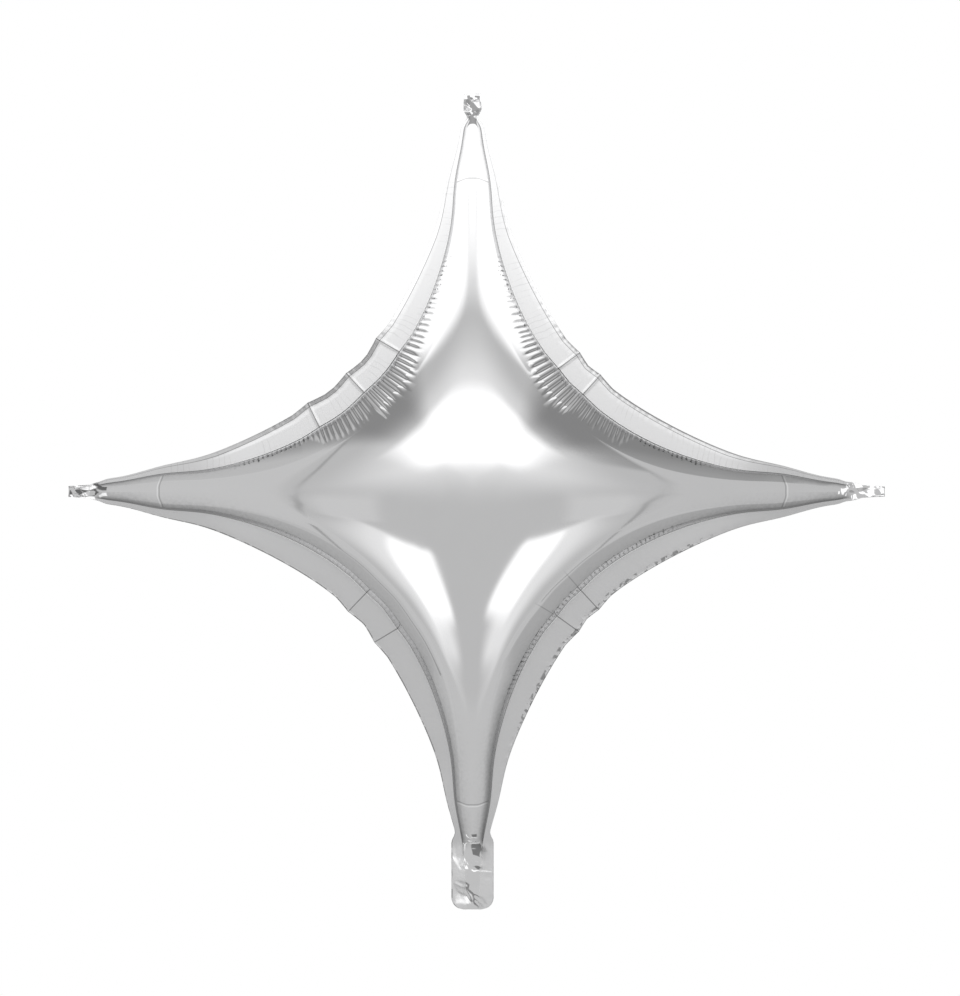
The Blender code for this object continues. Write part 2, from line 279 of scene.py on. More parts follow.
PUCKER_SHARES = (0.0, 0.80, 1.0, 1.0, 1.0, 1.0, 0.70, 0.60, 0.35, 0.0)
TUCKS = {
    ("east", "top"): (-0.0195, 0.0070),
    ("west", "top"): (-0.0350, 0.0050, 0.0470),
    ("east", "bottom"): (-0.0210, 0.0050),
    ("west", "bottom"): (-0.0326, 0.0026),
}
TUCK_CORNER = 0.0020
TUCK_REACH = 0.016
TUCK_RIDGE = 0.00030
TUCK_RIDGE_SPREAD = 0.0012
TUCK_RIDGE_START = 0.003
WELD_CORNER_SHARE = 0.45
WELD_CORNER_FADE = 6
UPPER_MARGIN_LEAN = math.radians(0.5)
LOWER_MARGIN_LEAN = math.radians(1.2)
MARGIN_LEAN_FADE = (0.130, 0.190)
RIM_WIDTH = 0.0036
MOST_RIM_SHARE = 0.3
RIM_TURN = {
    ("east", "top"): math.radians(6.0),
    ("west", "top"): math.radians(17.0),
    ("east", "bottom"): math.radians(2.0),
    ("west", "bottom"): math.radians(1.5),
}
RIM_CRUMPLE = {
    ("east", "top"): 0.00022,
    ("west", "top"): 0.00016,
    ("east", "bottom"): 0.00035,
    ("west", "bottom"): 0.00005,
}
RIM_CRUMPLE_LENGTH = 0.006
WANDER_WAVES = 5
WANDER_LENGTH_SPREAD = (0.5, 2.0)
WANDER_STRENGTH = 3.0
INNER_MARGIN_SHARES = (0.05, 0.28, 0.52, 0.76, 1.0)
RIM_SHARES = (0.33, 0.66, 1.0)
CREASE_TAPER = 0.12
CREASE_TAPER_LENGTH = 0.030
HORN_END_ROUNDING = 0.016
NECK_PINCH = {"top": 0.52, "west": 0.10, "east": 0.12, "bottom": 0.0}
NECK_SPREAD = 0.0045

# Folds in the tail: two ends in x and z, then half width and height
TAIL_FOLDS = (
    ((-0.0185, -0.0066), (-0.0077, -0.0202), 0.0030, 0.00060),
    ((-0.0060, -0.0130), (0.0040, -0.0202), 0.0024, 0.00050),
    ((0.0040, -0.0202), (0.0160, -0.0226), 0.0030, 0.00060),
    ((-0.0130, -0.0298), (0.0105, -0.0484), 0.0022, -0.00050),
    ((-0.0077, -0.0202), (-0.0168, 0.0100), 0.0016, 0.00040),
    ((-0.0077, -0.0202), (-0.0135, 0.0120), 0.0014, -0.00040),
    ((-0.0077, -0.0202), (-0.0100, 0.0080), 0.0014, 0.00040),
    ((-0.0065, -0.0190), (-0.0060, 0.0030), 0.0014, -0.00035),
    ((-0.0110, -0.0350), (-0.0060, -0.0470), 0.0018, 0.00040),
    ((-0.0075, -0.0330), (0.0000, -0.0460), 0.0016, 0.00045),
)
TAIL_FOLD_INSIDE = 0.004

# How crushed the tabs and the tail are, as a slope, and the size of their facets
TAB_CRUMPLE = {"top": 0.30, "west": 0.24, "east": 0.24, "bottom": 0.060}
FACET_SIZE = 0.0085
FACET_SIZE_SPREAD = (0.6, 1.9)
FACET_WAVES = 6
FACET_SEED = 7
CRUSHED_FROM = 0.002
CRUSHED_FULLY = 0.006
FIRST_SIDE_SEED = 50


def crumple(x, z):
    """Flat facets that meet in creases, as crushed film has: triangle waves in several directions."""
    draw = np.random.default_rng(FACET_SEED)
    height = np.zeros_like(x)
    for _ in range(FACET_WAVES):
        angle = draw.uniform(0.0, math.pi)
        length = FACET_SIZE * draw.uniform(*FACET_SIZE_SPREAD)
        phase = draw.uniform(0.0, 1.0)
        wave = ((x * math.cos(angle) + z * math.sin(angle)) / length + phase) % 1.0
        height += length * (np.abs(wave - 0.5) - 0.25)
    return height


def wander(run, seed, reach):
    """A slow irregular change, mostly between -1 and 1, along a side."""
    draw = np.random.default_rng(seed)
    total = np.zeros_like(run)
    for _ in range(WANDER_WAVES):
        length = reach * draw.uniform(*WANDER_LENGTH_SPREAD)
        total += np.sin(2.0 * math.pi * (run / length + draw.uniform(0.0, 1.0)))
    return total / WANDER_STRENGTH


def fold(x, z, start, end, half_width, height):
    """A straight fold between two points: a low tent that fades past its ends."""
    start = np.array(start)
    along = np.array(end) - start
    length = np.hypot(*along)
    along = along / length
    place = (x - start[0]) * along[0] + (z - start[1]) * along[1]
    aside = (x - start[0]) * along[1] - (z - start[1]) * along[0]
    past = np.maximum(np.maximum(-place, place - length), 0.0)
    return height * np.clip(1.0 - np.abs(aside) / half_width, 0.0, 1.0) * np.exp(-past / half_width)


def tuck_corners(run, horns):
    """How far the tucks push the film's edge out: a blunt corner at each, straight between them."""
    corners = [np.clip(1.0 - np.abs(run - place) / TUCK_REACH, 0.0, 1.0) for place in TUCKS[horns]]
    return TUCK_CORNER * np.max(corners, axis=0)


def pucker_phase(run, seed):
    """Which pucker a place along the side lies in, as a count with its fraction."""
    places = np.linspace(-PUCKER_COUNT_REACH, PUCKER_COUNT_REACH, PUCKER_COUNT_PLACES)
    wide = fade(-places, -WIDE_PUCKERS[0], WIDE_PUCKER_FADES[0] - WIDE_PUCKERS[0])
    wide = wide * fade(places, WIDE_PUCKERS[1], WIDE_PUCKERS[1] + WIDE_PUCKER_FADES[1])
    pitch = NARROW_PUCKER_PITCH + (WIDE_PUCKER_PITCH - NARROW_PUCKER_PITCH) * wide
    count = np.cumsum((places[1] - places[0]) / pitch)
    return np.interp(run, places, count) + PUCKER_WANDER * wander(run, seed, PUCKER_WANDER_REACH)


def pucker_relief(run, inside, seed):
    """How far the pillows between the puckers stand out, and how deep in a groove each place is."""
    phase = pucker_phase(run, seed)
    number = np.floor(phase).astype(int)
    draw = np.random.default_rng(seed + 1)
    lengths = draw.uniform(*PUCKER_LENGTH_SPREAD, MOST_PUCKERS)[number]
    heights = draw.uniform(*PUCKER_HEIGHT_SPREAD, MOST_PUCKERS)[number]
    length = np.interp(run, PUCKER_RUNS, PUCKER_LENGTHS) * lengths
    share = np.interp(run, PUCKER_RUNS, PUCKER_SHARES)
    height = share * heights * PUCKER_HEIGHT
    ridge = np.abs(np.sin(math.pi * phase)) ** PUCKER_ROUNDNESS
    start = 1.0 - fade(inside, 0.0, PUCKER_START)
    end = fade(inside, PUCKER_END[0] * length, PUCKER_END[1] * length)
    relief = height * ridge * start * end
    groove = (1.0 - ridge) ** GROOVE_SHARPNESS * share * end
    return relief, groove


def body_rise(across, upright_horn, rise_columns, round_rise):
    """The body's height over the weld's plane, flattened to its real depth and rounded at its ends."""
    rise = np.empty((len(across), BODY_ROWS + 1))
    for row in range(BODY_ROWS + 1):
        rise[:, row] = np.interp(across, rise_columns, round_rise[:, row])
    flattening = 1.0 - (BODY_DEPTH / 2.0) / round_rise.max()
    rise = rise * (1.0 - flattening * rise / round_rise.max())
    along = np.sqrt(np.abs(across))
    reach = np.where(across > 0, HORN_REACH,
                     LOWER_HORN_REACH if upright_horn == "bottom" else HORN_REACH)
    end = np.clip((along - reach + HORN_END_ROUNDING) / HORN_END_ROUNDING, 0.0, 1.0)
    rise = rise * np.sqrt(1.0 - end ** 2)[:, None]
    taper = CREASE_TAPER * (1.0 - fade(along, CREASE_REACH, CREASE_REACH + CREASE_TAPER_LENGTH))
    return rise * (1.0 - taper)[:, None]


def film_side(horns, rise_columns, round_rise):
    """One side of one sheet: its points in plan, its height over the weld's plane, and its places."""
    level_horn, upright_horn = horns
    across = side_columns(level_horn, upright_horn)
    rise = body_rise(across, upright_horn, rise_columns, round_rise)
    run = weld_run(across)
    corners = tuck_corners(run, horns)
    weld = weld_level(across)
    weld_x, weld_z = saddle_point(across, weld)
    weld = weld + np.hypot(weld_x, weld_z) * corners * WELD_CORNER_SHARE
    grid_across, grid_share = np.meshgrid(across, body_shares(), indexing="ij")
    grid_level = grid_share * weld_level(grid_across)
    grid_level = grid_level + (grid_share ** WELD_CORNER_FADE) * (weld - weld_level(across))[:, None]
    body_x, body_z = saddle_point(grid_across, grid_level)
    edge_across, edge_level = side_curve(level_horn, upright_horn, sheet_half_width)
    outer = np.interp(across, edge_across, edge_level)
    outer_x, outer_z = saddle_point(across, outer)
    outer_x, outer_z = saddle_point(across, outer + np.hypot(outer_x, outer_z) * corners)
    width = np.hypot(outer_x - body_x[:, -1], outer_z - body_z[:, -1])[:, None]
    rim = np.minimum(RIM_WIDTH, MOST_RIM_SHARE * width)
    inner = (width - rim) * np.array(INNER_MARGIN_SHARES)[None, :]
    outside = np.concatenate((inner, width - rim + rim * np.array(RIM_SHARES)[None, :]), axis=1)
    steps = outside / width
    margin_x = body_x[:, -1:] + (outer_x - body_x[:, -1])[:, None] * steps
    margin_z = body_z[:, -1:] + (outer_z - body_z[:, -1])[:, None] * steps

    x = np.concatenate((body_x, margin_x), axis=1)
    z = np.concatenate((body_z, margin_z), axis=1)
    height = np.concatenate((rise, np.zeros_like(margin_x)), axis=1) + FILM_HALF
    inside = np.zeros_like(x)
    plan_steps = np.hypot(np.diff(body_x, axis=1), np.diff(body_z, axis=1))
    inside[:, :BODY_ROWS] = np.cumsum(plan_steps[:, ::-1], axis=1)[:, ::-1]
    nothing = np.zeros_like(body_x)
    on_rim = np.clip((outside - width + rim) / rim, 0.0, 1.0)
    return {
        "horns": horns,
        "x": x,
        "z": z,
        "height": height,
        "inside": inside,
        "outside": np.concatenate((nothing, outside), axis=1),
        "on_rim": np.concatenate((nothing, on_rim), axis=1),
        "rim": rim,
        "run": run[:, None] + 0.0 * x,
        "along": np.sqrt(np.abs(across))[:, None] + 0.0 * x,
    }


def grid_normals(points):
    """Unit normals of a grid of points, by differences along its columns and rows."""
    along_columns = np.gradient(points, axis=0)
    along_rows = np.gradient(points, axis=1)
    normal = np.cross(along_columns, along_rows)
    length = np.linalg.norm(normal, axis=2, keepdims=True)
    return normal / np.maximum(length, TINY)


def crushed_share(side):
    """How crushed the film is: fully on the tabs and the tail, not at all on the body."""
    on_level = side["x"] > side["z"]
    lower = side["horns"][1] == "bottom"
    reach = np.where(on_level, HORN_REACH, LOWER_HORN_REACH if lower else HORN_REACH)
    return 1.0 - fade(side["along"], reach - CRUSHED_FROM, reach + CRUSHED_FULLY)


def nearest_tuck(side):
    """The distance along the weld to the nearest tuck of this side."""
    return np.min([np.abs(side["run"] - place) for place in TUCKS[side["horns"]]], axis=0)


def add_puckers(side, points, seed):
    """Push the body's points out between the puckers, and keep how deep in a groove each one lies."""
    body = slice(0, BODY_ROWS + 1)
    normal = grid_normals(points[:, body])
    normal = np.where(normal[:, :, 1:2] < 0, -normal, normal)
    relief, groove = pucker_relief(side["run"][:, body], side["inside"][:, body], seed)
    points[:, body] += normal * relief[:, :, None]
    side["groove"][:, body] = groove


def add_tail_folds(side, points):
    """Raise the folds of the tail towards the front, on both sheets alike."""
    for start, end, half_width, height in TAIL_FOLDS:
        ridge = fold(points[:, :, 0], points[:, :, 2], start, end, half_width, height)
        points[:, :, 1] -= ridge * np.clip(1.0 - side["inside"] / TAIL_FOLD_INSIDE, 0.0, 1.0)


def add_small_forms(side, facing, seed):
    """The side's points in space for one sheet, with puckers, tucks, turned rim and crushed ends."""
    level_horn, upright_horn = side["horns"]
    upper = upright_horn == "top"
    run = side["run"]
    outside = side["outside"]
    points = np.stack((side["x"], side["height"], side["z"]), axis=2)
    side["groove"] = np.zeros_like(run)
    if upper:
        add_puckers(side, points, seed)

    on_side = fade(np.abs(run), *MARGIN_LEAN_FADE)
    on_rim = side["on_rim"]
    back = math.tan(UPPER_MARGIN_LEAN if upper else LOWER_MARGIN_LEAN) * outside * on_side
    back += math.tan(RIM_TURN[side["horns"]]) * side["rim"] * on_rim * on_side
    back += RIM_CRUMPLE[side["horns"]] * on_rim * wander(run, seed + 2, RIM_CRUMPLE_LENGTH)
    if upper:
        ridge = TUCK_RIDGE * bump(nearest_tuck(side), 0.0, TUCK_RIDGE_SPREAD)
        points[:, :, 1] += ridge * np.clip(outside / TUCK_RIDGE_START, 0.0, 1.0)

    pinch_x = 1.0 - NECK_PINCH[upright_horn] * bump(points[:, :, 2], HORN_REACH, NECK_SPREAD)
    pinch_z = 1.0 - NECK_PINCH[level_horn] * bump(points[:, :, 0], HORN_REACH, NECK_SPREAD)
    points[:, :, 0] *= HORN_DIRECTION[level_horn][0] * pinch_x
    points[:, :, 2] *= HORN_DIRECTION[upright_horn][1] * pinch_z
    side["crushed"] = crushed_share(side)
    slope = np.where(side["x"] > side["z"], TAB_CRUMPLE[level_horn], TAB_CRUMPLE[upright_horn])
    back += crumple(points[:, :, 0], points[:, :, 2]) * slope * side["crushed"]
    points[:, :, 1] = facing * points[:, :, 1] + back
    points[:, :, 2] += LOWER_HORN_REACH
    if not upper:
        add_tail_folds(side, points)
    side["upper"] = np.full_like(run, 1.0 if upper else 0.0)
    side["right"] = np.full_like(run, 1.0 if level_horn == "east" else 0.0)
    return points


def kept_columns(side):
    """Every column of an upper side, and fewer across the plain middle of a lower one."""
    run = side["run"][:, 0]
    places = np.arange(len(run))
    if side["horns"][1] == "top":
        return places
    plain = (run > 0) & (run < PUCKERED_HALF)
    return places[~plain | (places % LOWER_COLUMN_SHARE == 0)]


MEASURES = ("run", "inside", "outside", "on_rim", "along", "crushed", "upper", "right", "groove")


def join_sides(sides, facing, vertices, measures, faces):
    """Add the four sides of one sheet, with the points along each spine shared."""
    spine = {}
    grids = []
    for place, side in enumerate(sides):
        points = add_small_forms(side, facing, FIRST_SIDE_SEED + 10 * place + facing)
        kept = kept_columns(side)
        grid = np.full(points.shape[:2], -1)
        for column in range(len(grid)):
            rows = range(grid.shape[1]) if column in kept else (0,)
            for row in rows:
                point = tuple(points[column, row])
                key = (round(point[0], 6), round(point[2], 6)) if row == 0 else None
                if key in spine:
                    grid[column, row] = spine[key]
                    continue
                grid[column, row] = len(vertices)
                vertices.append(point)
                for name in MEASURES:
                    measures[name].append(side[name][column, row])
                if row == 0:
                    spine[key] = grid[column, row]
        for first, last in zip(kept[:-1], kept[1:]):
            faces.append(tuple(grid[first:last + 1, 0]) + (grid[last, 1], grid[first, 1]))
        rest = grid[kept, 1:]
        quads = np.stack((rest[:-1, :-1], rest[1:, :-1], rest[1:, 1:], rest[:-1, 1:]), axis=2)
        faces.extend(map(tuple, quads.reshape(-1, 4)))
        grids.append(grid[kept])
    return grids


def make_film():
    """The whole filled balloon as one closed mesh: two sheets joined by a thin edge."""
    rise_columns, round_rise = membrane_rise()
    vertices = []
    measures = {name: [] for name in MEASURES}
    faces = []
    grids = {}
    for facing in (-1, 1):
        sides = [film_side(horns, rise_columns, round_rise) for horns in TUCKS]
        grids[facing] = join_sides(sides, facing, vertices, measures, faces)
    for front, back in zip(grids[-1], grids[1]):
        for near, far in ((front[:, -1], back[:, -1]), (front[0], back[0]), (front[-1], back[-1])):
            for step in range(len(near) - 1):
                faces.append((near[step], near[step + 1], far[step + 1], far[step]))
    data = bpy.data.meshes.new("balloon_film")
    data.from_pydata(vertices, [], faces)
    mesh = bmesh.new()
    mesh.from_mesh(data)
    bmesh.ops.recalc_face_normals(mesh, faces=mesh.faces[:])
    mesh.to_mesh(data)
    mesh.free()
    data.shade_smooth()
    for name in MEASURES:
        add_measure(data, name, measures[name])
    film = bpy.data.objects.new("balloon_film", data)
    bpy.context.scene.collection.objects.link(film)
    return film


def add_measure(data, name, values):
    """Keep one number for each vertex, so that the finish can follow it."""
    layer = data.attributes.new(name, "FLOAT", "POINT")
    layer.data.foreach_set("value", np.asarray(values, dtype=np.float32))


LINE_CORE_SHARE = 0.3


def link(tree, source, target):
    """Join an output socket to an input socket."""
    tree.links.new(source, target)


def maths(tree, operation, *values, clamp=False):
    """A Math node on numbers or sockets, giving its output socket."""
    node = tree.nodes.new("ShaderNodeMath")
    node.operation = operation
    node.use_clamp = clamp
    for socket, value in zip(node.inputs, values):
        if isinstance(value, (int, float)):
            socket.default_value = value
        else:
            link(tree, value, socket)
    return node.outputs[0]


def measure(tree, name):
    """One of the film's own measures, as add_measure kept it."""
    node = tree.nodes.new("ShaderNodeAttribute")
    node.attribute_name = name
    return node.outputs["Fac"]


def ramp(tree, value, start, end):
    """Rise smoothly from 0 to 1 as a value goes from start to end."""
    rise = tree.nodes.new("ShaderNodeMapRange")
    rise.interpolation_type = "SMOOTHSTEP"
    rise.inputs["From Min"].default_value = start
    rise.inputs["From Max"].default_value = end
    link(tree, value, rise.inputs["Value"])
    return rise.outputs["Result"]


def product(tree, *values):
    """All the values multiplied together."""
    total = values[0]
    for value in values[1:]:
        total = maths(tree, "MULTIPLY", total, value)
    return total


def cloud(tree, place, scale, detail):
    """Soft irregular patches, with values mostly between 0.3 and 0.7."""
    noise = tree.nodes.new("ShaderNodeTexNoise")
    noise.inputs["Scale"].default_value = scale
    noise.inputs["Detail"].default_value = detail
    link(tree, place, noise.inputs["Vector"])
    return noise.outputs["Fac"]


def line(tree, distance, half_width):
    """1 on a line, falling to 0 within its half width."""
    return ramp(tree, maths(tree, "ABSOLUTE", distance), half_width, LINE_CORE_SHARE * half_width)


# The finish: tones and roughness as shares, breadths and lengths in metres. A dimness is the share of
# the light that a mark takes away; the marks are painted shade, and beside each crease a painted glint
FOIL_SILVER = (0.994, 0.994, 1.0, 1.0)
FOIL_BRIGHTNESS = 0.805
FOIL_ROUGHNESS = 0.06
MARGIN_ROUGHNESS = 0.27
MARGIN_ROUGH_BY = 0.0010
WIDE_CLOUD = (38.0, 3.0)
FINE_CLOUD = (420.0, 2.0)
CLOUD_CHANGE = 0.03
WELD_EDGE = 0.0006
# Painted shade along the inner edge of the weld, wider on the lower sides
WELD_SHADE_WIDTH = 0.0012
WELD_SHADE_DIMNESS = 0.75
LOWER_WELD_SHADE_SPREAD = 1.6
# Painted shade on the lower margins
LOWER_MARGIN_SHADE = 0.15
# Painted shade lines at the tucks
TUCK_LINE = 0.0006
TUCK_SHADE_DIMNESS = 0.60
TUCK_INTO_BODY = (0.022, 0.012)
TUCK_SHARE_ON_BODY = 0.45
# A painted shade line with a painted glint beside it, at each point's crease
CREASE_LINE = 0.0007
CREASE_SHADE_DIMNESS = 0.30
CREASE_GLINT = 0.24
CREASE_BOW = 0.0028
CREASE_BOW_REACH = 0.010
CREASE_OFF_WELD = (0.0005, 0.002)
# Painted shade at the rim's inner bend, and painted shade flecks where the rim is crushed or frayed
RIM_LINE_PLACE = 0.12
RIM_SHADE_DIMNESS = 0.50
CRUSHED_RIM_CLOUD = (260.0, 3.0)
CRUSHED_RIM_PATCHES = (0.50, 0.58)
CRUSHED_RIM_START = (0.0, 0.3)
CRUSHED_RIM_RUNS = (0.125, 0.100)
CRUSHED_RIM_SHADE = 0.52
FRAYED_RIM_CLOUD = (150.0, 2.0)
FRAYED_RIM_PATCHES = (0.42, 0.50)
FRAYED_RIM_START = (0.70, 0.80)
FRAYED_RIM_SHADE = 0.50
# Teeth of painted shade along the weld
TOOTH_PITCH = 0.0036
TOOTH_UNEVENNESS = 5.0
TOOTH_BREADTH = (0.1, 0.9)
TOOTH_LENGTH_CHANGE = 0.0120
TOOTH_LENGTH_LESS = 0.0026
TOOTH_END = 0.0008
TOOTH_EDGE = 0.0004
TOOTH_SHADE_DIMNESS = 0.85
LEFT_TOOTH_SHARE = 0.25
UPPER_TOOTH_START = (0.050, 0.060)
UPPER_TOOTH_END = (0.120, 0.100)
LOWER_TOOTH_END = (0.100, 0.070)
# Painted shade lines across the upper margins, for their fine wrinkles
MARGIN_LINE_PITCH = 0.0044
MARGIN_LINE_UNEVENNESS = 16.0
MARGIN_LINE_BREADTH = (0.80, 0.98)
MARGIN_LINE_PATCHES = (0.47, 0.60)
MARGIN_LINE_SHADE = 0.10
# Painted shade in the grooves between the puckers
GROOVE_SHADE_DIMNESS = 0.72


def film_sockets(tree):
    """What the marks on the film follow: its own measures, two clouds and its parts, by name."""
    film = {name: measure(tree, name) for name in MEASURES}
    film["place"] = tree.nodes.new("ShaderNodeTexCoord").outputs["Object"]
    film["wide_cloud"] = cloud(tree, film["place"], *WIDE_CLOUD)
    film["fine_cloud"] = cloud(tree, film["place"], *FINE_CLOUD)
    film["whole"] = maths(tree, "SUBTRACT", 1.0, film["crushed"])
    film["lower"] = maths(tree, "SUBTRACT", 1.0, film["upper"])
    film["left"] = maths(tree, "SUBTRACT", 1.0, film["right"])
    film["off_middle"] = maths(tree, "ABSOLUTE", film["run"])
    film["in_margin"] = product(tree, ramp(tree, film["outside"], 0.0, WELD_EDGE), film["whole"])
    return film


def beat(tree, film, pitch, cloud_name, unevenness):
    """A wave along the weld, made uneven by a cloud."""
    shift = maths(tree, "MULTIPLY", film[cloud_name], unevenness)
    return maths(tree, "SINE", maths(tree, "MULTIPLY_ADD", film["run"], 2.0 * math.pi / pitch, shift))


def weld_shade_mark(tree, film):
    """Painted shade along the inner edge of the weld, spread wider on the lower sides, where it also
    darkens a bright reflection.
    """
    reach = maths(tree, "MULTIPLY_ADD", film["fine_cloud"], WELD_SHADE_WIDTH, 0.5 * WELD_SHADE_WIDTH)
    reach = product(tree, reach, maths(tree, "MULTIPLY_ADD", film["lower"], LOWER_WELD_SHADE_SPREAD, 1.0))
    seam = maths(tree, "EXPONENT", product(tree, maths(tree, "DIVIDE", film["inside"], reach), -1.0))
    return product(tree, seam, ramp(tree, film["outside"], WELD_EDGE, 0.0), film["whole"])


def tuck_shade_mark(tree, film):
    """Fine lines of painted shade where the film is tucked, and on the lower right some way into the body.
    """
    on_body = product(tree, ramp(tree, film["inside"], *TUCK_INTO_BODY), film["lower"], film["right"])
    reach = maths(tree, "MAXIMUM", ramp(tree, film["inside"], WELD_EDGE, 0.0),
                  maths(tree, "MULTIPLY", on_body, TUCK_SHARE_ON_BODY))
    total = None
    for (level_horn, upright_horn), places in TUCKS.items():
        level_half = film["right" if level_horn == "east" else "left"]
        upright_half = film["upper" if upright_horn == "top" else "lower"]
        for place in places:
            off = maths(tree, "SUBTRACT", film["run"], place)
            mark = product(tree, line(tree, off, TUCK_LINE), reach, level_half, upright_half)
            total = mark if total is None else maths(tree, "ADD", total, mark)
    return product(tree, total, film["whole"])


def crease_shade_and_glint(tree, film):
    """The crease across each point: a line of painted shade with a painted glint beside it."""
    bow = maths(tree, "MULTIPLY_ADD", ramp(tree, film["inside"], 0.0, CREASE_BOW_REACH), CREASE_BOW,
                CREASE_REACH)
    off = maths(tree, "SUBTRACT", film["along"], bow)
    on_body = ramp(tree, film["inside"], *CREASE_OFF_WELD)
    dark = line(tree, maths(tree, "ADD", off, 2.0 * CREASE_LINE), CREASE_LINE)
    bright = line(tree, off, CREASE_LINE)
    return product(tree, dark, on_body), product(tree, bright, on_body)


def rim_shade_marks(tree, film):
    """Painted shade on the rim: a line at its inner bend above, flecks where it is crushed on the lower
    right, patches where it frays on the lower left.
    """
    rim_shade_line = line(tree, maths(tree, "SUBTRACT", film["on_rim"], RIM_LINE_PLACE), RIM_LINE_PLACE)
    crushed = cloud(tree, film["place"], *CRUSHED_RIM_CLOUD)
    frayed = cloud(tree, film["place"], *FRAYED_RIM_CLOUD)
    return (product(tree, rim_shade_line, film["upper"], film["whole"]),
            product(tree, ramp(tree, crushed, *CRUSHED_RIM_PATCHES), film["right"], film["lower"],
                    ramp(tree, film["on_rim"], *CRUSHED_RIM_START),
                    ramp(tree, film["off_middle"], *CRUSHED_RIM_RUNS)),
            product(tree, ramp(tree, frayed, *FRAYED_RIM_PATCHES), film["lower"], film["left"],
                    ramp(tree, film["on_rim"], *FRAYED_RIM_START)))


def tooth_shade_mark(tree, film):
    """Fine teeth of painted shade along the weld, standing for small puckers: on the outer parts above,
    and below mostly on the right.
    """
    tooth = ramp(tree, beat(tree, film, TOOTH_PITCH, "fine_cloud", TOOTH_UNEVENNESS), *TOOTH_BREADTH)
    length = maths(tree, "MULTIPLY_ADD", film["fine_cloud"], TOOTH_LENGTH_CHANGE, -TOOTH_LENGTH_LESS)
    near = maths(tree, "MULTIPLY", maths(tree, "SUBTRACT", length, film["inside"]), 1.0 / TOOTH_END,
                 clamp=True)
    above = product(tree, ramp(tree, film["off_middle"], *UPPER_TOOTH_START),
                    ramp(tree, film["off_middle"], *UPPER_TOOTH_END), film["upper"])
    right_share = maths(tree, "MULTIPLY_ADD", film["right"], 1.0 - LEFT_TOOTH_SHARE, LEFT_TOOTH_SHARE)
    below = product(tree, ramp(tree, film["off_middle"], *LOWER_TOOTH_END), film["lower"], right_share)
    return product(tree, tooth, near, ramp(tree, film["outside"], TOOTH_EDGE, 0.0),
                   maths(tree, "ADD", above, below), film["whole"])


def margin_wrinkle_shade(tree, film):
    """Faint lines of painted shade across the upper margins, in patches, standing for fine wrinkles there.
    """
    across = beat(tree, film, MARGIN_LINE_PITCH, "wide_cloud", MARGIN_LINE_UNEVENNESS)
    return product(tree, ramp(tree, across, *MARGIN_LINE_BREADTH), film["in_margin"], film["upper"],
                   ramp(tree, film["wide_cloud"], *MARGIN_LINE_PATCHES))


def silver_foil():
    """Metallised film: mirror-bright on the body, duller where it is welded, with painted shade in its
    welds, tucks, creases, rim, grooves and margins and a painted glint beside each crease.
    """
    material = bpy.data.materials.new("silver_foil")
    material.use_nodes = True
    tree = material.node_tree
    shader = tree.nodes["Principled BSDF"]
    shader.inputs["Metallic"].default_value = 1.0
    film = film_sockets(tree)
    crease_painted_shade, crease_painted_glint = crease_shade_and_glint(tree, film)
    rim_shade_line, crushed_rim_shade, frayed_rim_shade = rim_shade_marks(tree, film)
    # Painted shade, and the crease's painted glint, as dimness on the foil's tone
    marks = (
        (weld_shade_mark(tree, film), WELD_SHADE_DIMNESS),
        (tuck_shade_mark(tree, film), TUCK_SHADE_DIMNESS),
        (rim_shade_line, RIM_SHADE_DIMNESS),
        (margin_wrinkle_shade(tree, film), MARGIN_LINE_SHADE),
        (crushed_rim_shade, CRUSHED_RIM_SHADE),
        (frayed_rim_shade, FRAYED_RIM_SHADE),
        (crease_painted_shade, CREASE_SHADE_DIMNESS),
        (crease_painted_glint, -CREASE_GLINT),
        (tooth_shade_mark(tree, film), TOOTH_SHADE_DIMNESS),
        (film["groove"], GROOVE_SHADE_DIMNESS),
        (product(tree, film["in_margin"], film["lower"]), LOWER_MARGIN_SHADE),
    )
    tone = maths(tree, "MULTIPLY_ADD", film["wide_cloud"], CLOUD_CHANGE, 1.0 - 0.5 * CLOUD_CHANGE)
    for mark, dimness in marks:
        left_over = maths(tree, "SUBTRACT", 1.0, maths(tree, "MULTIPLY", mark, dimness))
        tone = maths(tree, "MULTIPLY", tone, left_over)
    tone = maths(tree, "MULTIPLY", tone, FOIL_BRIGHTNESS)
    colour = tree.nodes.new("ShaderNodeMix")
    colour.data_type = "RGBA"
    colour.inputs["A"].default_value = (0.0, 0.0, 0.0, 1.0)
    colour.inputs["B"].default_value = FOIL_SILVER
    link(tree, tone, colour.inputs["Factor"])
    link(tree, colour.outputs["Result"], shader.inputs["Base Color"])

    duller = maths(tree, "MULTIPLY", ramp(tree, film["outside"], 0.0, MARGIN_ROUGH_BY),
                   MARGIN_ROUGHNESS - FOIL_ROUGHNESS)
    rough = maths(tree, "MULTIPLY_ADD", film["wide_cloud"], CLOUD_CHANGE, FOIL_ROUGHNESS)
    link(tree, maths(tree, "ADD", rough, duller), shader.inputs["Roughness"])
    return material


# The studio, in metres and degrees: azimuth 0 is towards the camera, positive to its right
STAR_CENTRE = Vector((0.0, 0.0, LOWER_HORN_REACH))
TENT_TONE = 0.60
TENT_RADIUS = 4.2
